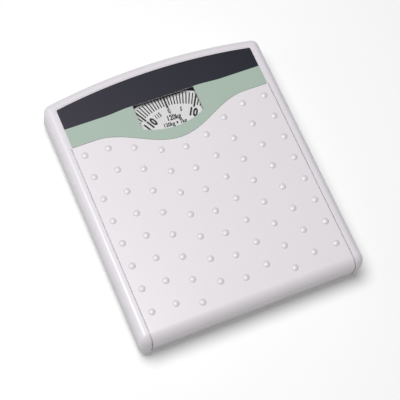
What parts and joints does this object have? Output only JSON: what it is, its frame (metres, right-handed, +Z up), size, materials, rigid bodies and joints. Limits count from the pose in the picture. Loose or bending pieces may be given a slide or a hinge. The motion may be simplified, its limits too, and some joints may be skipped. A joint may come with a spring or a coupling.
{
  "type": "mechanical dial platform scale",
  "caption": "Low mechanical floor scale with a dotted tread, a printed label at the rear and a dial seen through a window.",
  "frame": {"origin": "on the floor, under the middle of the scale's outline", "axes": "+Z up, +Y towards the end with the dial window, +X to the right of a person standing on the tread"},
  "size_m": [0.24, 0.281, 0.0452],
  "materials": {
    "white_shell": "fine satin, off-white",
    "pearl_shell": "fine satin, warm pearl white",
    "label_print": "printed film: slate band at the rear, sage green band in front of it",
    "clear_lens": "clear moulded plastic",
    "dial_face": "satin white with black print",
    "zinc_steel": "zinc plated, stamped",
    "spring_steel": "drawn spring wire",
    "pan_paint": "grey paint on pressed steel",
    "brass_work": "plain brass",
    "grey_plastic": "moulded grey plastic",
    "foot_rubber": "matte black"
  },
  "bodies": {
    "base": {"base_pan": "pan_paint", "foot_front_left": "foot_rubber", "foot_front_right": "foot_rubber", "foot_rear_left": "foot_rubber", "foot_rear_right": "foot_rubber", "fulcrum_bracket_front_left": "zinc_steel", "fulcrum_bracket_front_right": "zinc_steel", "fulcrum_bracket_rear_left": "zinc_steel", "fulcrum_bracket_rear_right": "zinc_steel", "spring_bracket": "zinc_steel", "adjuster_pin": "zinc_steel", "crank_bracket": "zinc_steel", "crank_pin": "zinc_steel", "rack_guide": "grey_plastic", "return_post": "zinc_steel", "dial_bridge": "zinc_steel", "bridge_screw_left": "zinc_steel", "bridge_screw_right": "zinc_steel", "spindle_bush_upper": "brass_work", "spindle_bush_lower": "brass_work"},
    "platform": {"top_frame": "white_shell", "tread_panel": "pearl_shell", "fascia_label": "label_print", "window_lens": "clear_lens", "hanger_front_left": "zinc_steel", "hanger_front_right": "zinc_steel", "hanger_rear_left": "zinc_steel", "hanger_rear_right": "zinc_steel", "cover_spring_left": "spring_steel", "cover_spring_right": "spring_steel"},
    "front_lever_left": {"long_lever_left": "zinc_steel", "fulcrum_pin_front_left": "zinc_steel"},
    "front_lever_right": {"long_lever_right": "zinc_steel", "fulcrum_pin_front_right": "zinc_steel"},
    "rear_lever_left": {"short_lever_left": "zinc_steel", "fulcrum_pin_rear_left": "zinc_steel"},
    "rear_lever_right": {"short_lever_right": "zinc_steel", "fulcrum_pin_rear_right": "zinc_steel"},
    "plate": {"spring_plate": "zinc_steel", "main_spring": "spring_steel"},
    "crank": {"bell_crank": "zinc_steel"},
    "rack_bar": {"rack": "brass_work", "return_spring": "spring_steel"},
    "dial": {"dial_spindle": "zinc_steel", "pinion": "brass_work", "dial_hub": "grey_plastic", "dial_disc": "dial_face"},
    "adjuster": {"zero_lever": "zinc_steel"},
    "adjuster_wheel": {"zero_wheel": "grey_plastic", "zero_screw": "zinc_steel"}
  },
  "joints": [
    {"name": "dial_spin", "type": "hinge", "parent": "base", "child": "dial", "pos_m": [0, 0.03475, 0.0364], "axis": [0, 0, 1], "range_deg": [0, 360], "stiffness_Nm_per_rad": 0.12, "springref_deg": -3.44},
    {"name": "platform_sink", "type": "slide", "parent": "base", "child": "platform", "axis": [0, 0, -1], "range_m": [0, 0.001], "deforming": ["cover_spring_left", "cover_spring_right"]},
    {"name": "long_lever_tilt_left", "type": "hinge", "parent": "base", "child": "front_lever_left", "pos_m": [-0.098, -0.114, 0.0145], "axis": [-1, 0, 0], "range_deg": [0, 2]},
    {"name": "long_lever_tilt_right", "type": "hinge", "parent": "base", "child": "front_lever_right", "pos_m": [0.098, -0.114, 0.0145], "axis": [-1, 0, 0], "range_deg": [0, 2]},
    {"name": "short_lever_tilt_left", "type": "hinge", "parent": "base", "child": "rear_lever_left", "pos_m": [-0.098, 0.109, 0.0145], "axis": [1, 0, 0], "range_deg": [0, 2.13]},
    {"name": "short_lever_tilt_right", "type": "hinge", "parent": "base", "child": "rear_lever_right", "pos_m": [0.098, 0.109, 0.0145], "axis": [1, 0, 0], "range_deg": [0, 2.13]},
    {"name": "plate_drop", "type": "slide", "parent": "base", "child": "plate", "axis": [0, 0, -1], "range_m": [0, 0.008], "deforming": ["main_spring"]},
    {"name": "crank_swing", "type": "hinge", "parent": "base", "child": "crank", "pos_m": [0.0057, 0.09, 0.013], "axis": [-1, 0, 0], "range_deg": [0, 45]},
    {"name": "rack_travel", "type": "slide", "parent": "base", "child": "rack_bar", "axis": [0, 1, 0], "range_m": [0, 0.01571], "deforming": ["return_spring"]},
    {"name": "zero_wheel_turn", "type": "hinge", "parent": "base", "child": "adjuster_wheel", "pos_m": [0, 0.1325, 0.013], "axis": [0, 1, 0], "range_deg": [-720, 720]},
    {"name": "zero_lever_tilt", "type": "hinge", "parent": "base", "child": "adjuster", "pos_m": [0, 0.125, 0.033], "axis": [1, 0, 0], "range_deg": [-5.8, 5.8]}
  ],
  "couplings": [
    {"joint": "platform_sink", "follows": "dial_spin", "m_per_rad": 0.00015915},
    {"joint": "long_lever_tilt_left", "follows": "dial_spin", "ratio": 0.0055356},
    {"joint": "long_lever_tilt_right", "follows": "dial_spin", "ratio": 0.0055356},
    {"joint": "short_lever_tilt_left", "follows": "dial_spin", "ratio": 0.0058946},
    {"joint": "short_lever_tilt_right", "follows": "dial_spin", "ratio": 0.0058946},
    {"joint": "plate_drop", "follows": "dial_spin", "m_per_rad": 0.0012732},
    {"joint": "crank_swing", "follows": "dial_spin", "ratio": 0.125},
    {"joint": "rack_travel", "follows": "dial_spin", "m_per_rad": 0.0025},
    {"joint": "zero_lever_tilt", "follows": "zero_wheel_turn", "ratio": 0.0079577}
  ]
}
